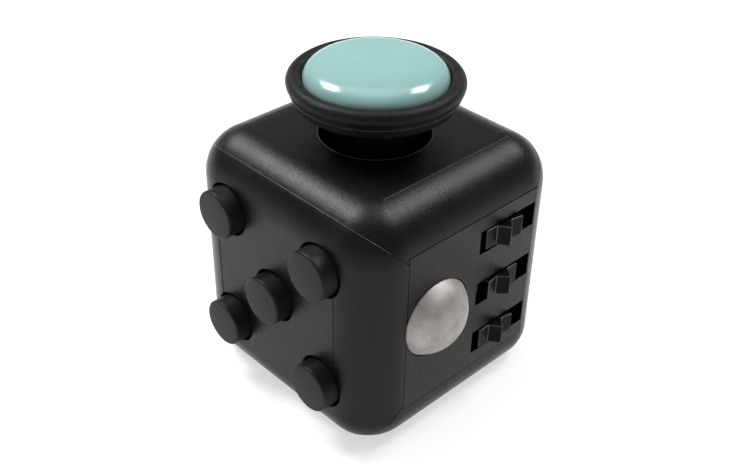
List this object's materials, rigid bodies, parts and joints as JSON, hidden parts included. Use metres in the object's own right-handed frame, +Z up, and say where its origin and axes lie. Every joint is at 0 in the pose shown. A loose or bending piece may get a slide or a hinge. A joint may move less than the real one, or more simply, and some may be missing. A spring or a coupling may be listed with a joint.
{
  "type": "fidget cube",
  "caption": "Rounded pocket cube with a tilting joystick, push buttons, star gears and a ball on its sides, a rocker, a dial and a thumb dish.",
  "frame": {"origin": "centre of the cube's bottom face, on the table", "axes": "+Z up through the joystick, -Y out of the button side, +X out of the gear and ball side, +Y out of the rocker side, -X out of the dial side"},
  "size_m": [0.039, 0.037, 0.0424],
  "materials": {
    "black_abs": "satin, fine spark texture",
    "black_button": "matte",
    "black_gear": "semi-gloss",
    "black_rubber": "matte, fine grain",
    "teal_gloss": "glossy",
    "satin_steel": "satin, mottled",
    "zinc_steel": "plated",
    "spring_steel": "bright",
    "white_nylon": "natural",
    "grey_chassis": "moulded"
  },
  "bodies": {
    "cube": {"top_shell": "black_abs", "click_shell": "black_abs", "flip_shell": "black_abs", "bottom_shell": "black_abs", "roll_panel": "black_abs", "dial_panel": "black_abs", "core_frame": "grey_chassis", "click_plate": "grey_chassis", "rocker_housing": "grey_chassis", "frame_screw_1": "zinc_steel", "frame_screw_2": "zinc_steel", "frame_screw_3": "zinc_steel", "frame_screw_4": "zinc_steel", "click_plate_screw_lower": "zinc_steel", "click_plate_screw_upper": "zinc_steel", "gear_bracket_screw_lower": "zinc_steel", "gear_bracket_screw_upper": "zinc_steel", "rocker_screw_lower": "zinc_steel", "rocker_screw_upper": "zinc_steel", "click_dome_upper_left": "black_rubber", "click_dome_upper_right": "black_rubber", "click_dome_centre": "black_rubber", "click_dome_lower_left": "black_rubber", "click_dome_lower_right": "black_rubber", "rocker_detent": "black_rubber", "gear_bracket": "white_nylon", "stick_spring": "spring_steel", "gear_axle": "spring_steel", "ball_spring": "spring_steel", "rocker_pin": "spring_steel"},
    "button_upper_left_body": {"button_upper_left": "black_button"},
    "button_upper_right_body": {"button_upper_right": "black_button"},
    "button_centre_body": {"button_centre": "black_button"},
    "button_lower_left_body": {"button_lower_left": "black_button"},
    "button_lower_right_body": {"button_lower_right": "black_button"},
    "gimbal": {"gimbal_ring": "white_nylon", "gimbal_cross_pin": "spring_steel"},
    "stick": {"stick_stem": "black_abs", "stick_cap": "black_rubber", "cap_badge": "teal_gloss"},
    "gear_top_body": {"gear_top": "black_gear"},
    "gear_middle_body": {"gear_middle": "black_gear"},
    "gear_bottom_body": {"gear_bottom": "black_gear"},
    "ball_carrier": {"ball_cup": "white_nylon"},
    "ball": {"steel_ball": "satin_steel"},
    "rocker_body": {"rocker": "black_button"},
    "dial": {"spin_dial": "black_button", "dial_spindle": "spring_steel", "dial_clip": "spring_steel"}
  },
  "joints": [
    {"name": "press_upper_left", "type": "slide", "parent": "cube", "child": "button_upper_left_body", "axis": [0, 1, 0], "range_m": [0, 0.001], "stiffness_N_per_m": 600},
    {"name": "press_upper_right", "type": "slide", "parent": "cube", "child": "button_upper_right_body", "axis": [0, 1, 0], "range_m": [0, 0.001], "stiffness_N_per_m": 600},
    {"name": "press_centre", "type": "slide", "parent": "cube", "child": "button_centre_body", "axis": [0, 1, 0], "range_m": [0, 0.001], "stiffness_N_per_m": 600},
    {"name": "press_lower_left", "type": "slide", "parent": "cube", "child": "button_lower_left_body", "axis": [0, 1, 0], "range_m": [0, 0.001], "stiffness_N_per_m": 600},
    {"name": "press_lower_right", "type": "slide", "parent": "cube", "child": "button_lower_right_body", "axis": [0, 1, 0], "range_m": [0, 0.001], "stiffness_N_per_m": 600},
    {"name": "stick_tilt_front_back", "type": "hinge", "parent": "cube", "child": "gimbal", "pos_m": [0, 0, 0.0265], "axis": [1, 0, 0], "range_deg": [-5.5, 5.5], "stiffness_Nm_per_rad": 0.03},
    {"name": "stick_tilt_left_right", "type": "hinge", "parent": "gimbal", "child": "stick", "pos_m": [0, 0, 0.0265], "axis": [0, 1, 0], "range_deg": [-5.5, 5.5], "stiffness_Nm_per_rad": 0.03},
    {"name": "gear_top_spin", "type": "hinge", "parent": "cube", "child": "gear_top_body", "pos_m": [0.014, 0.00575, 0.0241], "axis": [0, 0, 1], "continuous": true},
    {"name": "gear_middle_spin", "type": "hinge", "parent": "cube", "child": "gear_middle_body", "pos_m": [0.014, 0.00575, 0.0165], "axis": [0, 0, 1], "continuous": true},
    {"name": "gear_bottom_spin", "type": "hinge", "parent": "cube", "child": "gear_bottom_body", "pos_m": [0.014, 0.00575, 0.0089], "axis": [0, 0, 1], "continuous": true},
    {"name": "ball_press", "type": "slide", "parent": "cube", "child": "ball_carrier", "axis": [-1, 0, 0], "range_m": [0, 0.001], "stiffness_N_per_m": 800},
    {"name": "ball_roll", "type": "hinge", "parent": "ball_carrier", "child": "ball", "pos_m": [0.0138, -0.0054, 0.0169], "axis": [0, 1, 0], "continuous": true},
    {"name": "rocker_tilt", "type": "hinge", "parent": "cube", "child": "rocker_body", "pos_m": [0, 0.0134, 0.0165], "axis": [1, 0, 0], "range_deg": [-8, 8]},
    {"name": "dial_spin", "type": "hinge", "parent": "cube", "child": "dial", "pos_m": [-0.0165, 0, 0.0165], "axis": [-1, 0, 0], "continuous": true}
  ]
}
